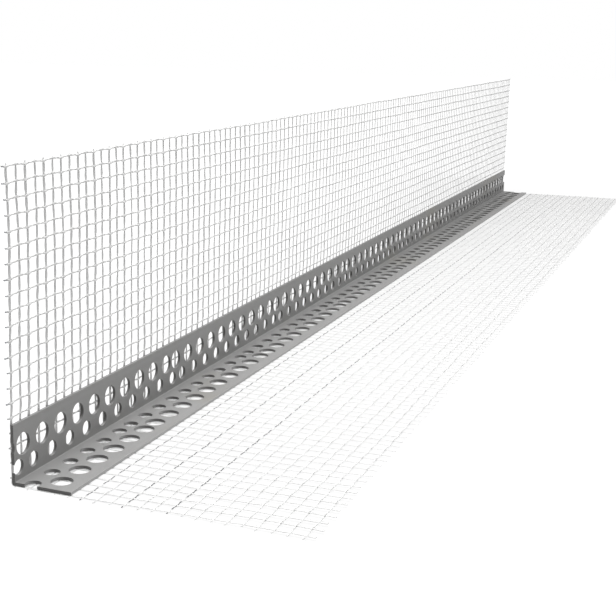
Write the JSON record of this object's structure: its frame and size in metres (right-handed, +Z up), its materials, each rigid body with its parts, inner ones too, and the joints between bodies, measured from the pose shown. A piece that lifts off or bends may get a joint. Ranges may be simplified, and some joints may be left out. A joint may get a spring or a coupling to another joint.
{
  "type": "mesh corner bead",
  "caption": "Perforated aluminium angle with a folded glass-fibre mesh wing on each leg, bedded in plaster to protect an outside wall corner.",
  "frame": {"origin": "middle of the bead's underside, on the floor, at the centre of its box", "axes": "+Y along the bead away from the near end of the picture, +X out along the flat wing, +Z up"},
  "size_m": [0.1036, 0.7728, 0.1018],
  "materials": {
    "aluminium": "matte mill finish",
    "glass_mesh": "coated woven glass-fibre yarn"
  },
  "bodies": {
    "root": {"corner_profile": "aluminium", "upright_mesh_1": "glass_mesh", "upright_mesh_2": "glass_mesh", "upright_mesh_3": "glass_mesh", "upright_mesh_4": "glass_mesh", "upright_mesh_5": "glass_mesh", "upright_mesh_6": "glass_mesh", "upright_mesh_7": "glass_mesh", "upright_mesh_8": "glass_mesh", "upright_mesh_9": "glass_mesh", "upright_mesh_10": "glass_mesh", "upright_mesh_11": "glass_mesh", "upright_mesh_12": "glass_mesh", "upright_mesh_13": "glass_mesh", "upright_mesh_14": "glass_mesh", "upright_mesh_15": "glass_mesh", "upright_mesh_16": "glass_mesh", "upright_mesh_17": "glass_mesh", "upright_mesh_18": "glass_mesh", "upright_mesh_19": "glass_mesh", "upright_mesh_20": "glass_mesh", "upright_mesh_21": "glass_mesh", "upright_mesh_22": "glass_mesh", "upright_mesh_23": "glass_mesh", "upright_mesh_24": "glass_mesh", "upright_mesh_25": "glass_mesh", "flat_mesh_1": "glass_mesh", "flat_mesh_2": "glass_mesh", "flat_mesh_3": "glass_mesh", "flat_mesh_4": "glass_mesh", "flat_mesh_5": "glass_mesh", "flat_mesh_6": "glass_mesh", "flat_mesh_7": "glass_mesh", "flat_mesh_8": "glass_mesh", "flat_mesh_9": "glass_mesh", "flat_mesh_10": "glass_mesh", "flat_mesh_11": "glass_mesh", "flat_mesh_12": "glass_mesh", "flat_mesh_13": "glass_mesh", "flat_mesh_14": "glass_mesh", "flat_mesh_15": "glass_mesh", "flat_mesh_16": "glass_mesh", "flat_mesh_17": "glass_mesh", "flat_mesh_18": "glass_mesh", "flat_mesh_19": "glass_mesh", "flat_mesh_20": "glass_mesh", "flat_mesh_21": "glass_mesh", "flat_mesh_22": "glass_mesh", "flat_mesh_23": "glass_mesh", "flat_mesh_24": "glass_mesh", "flat_mesh_25": "glass_mesh"}
  },
  "joints": []
}
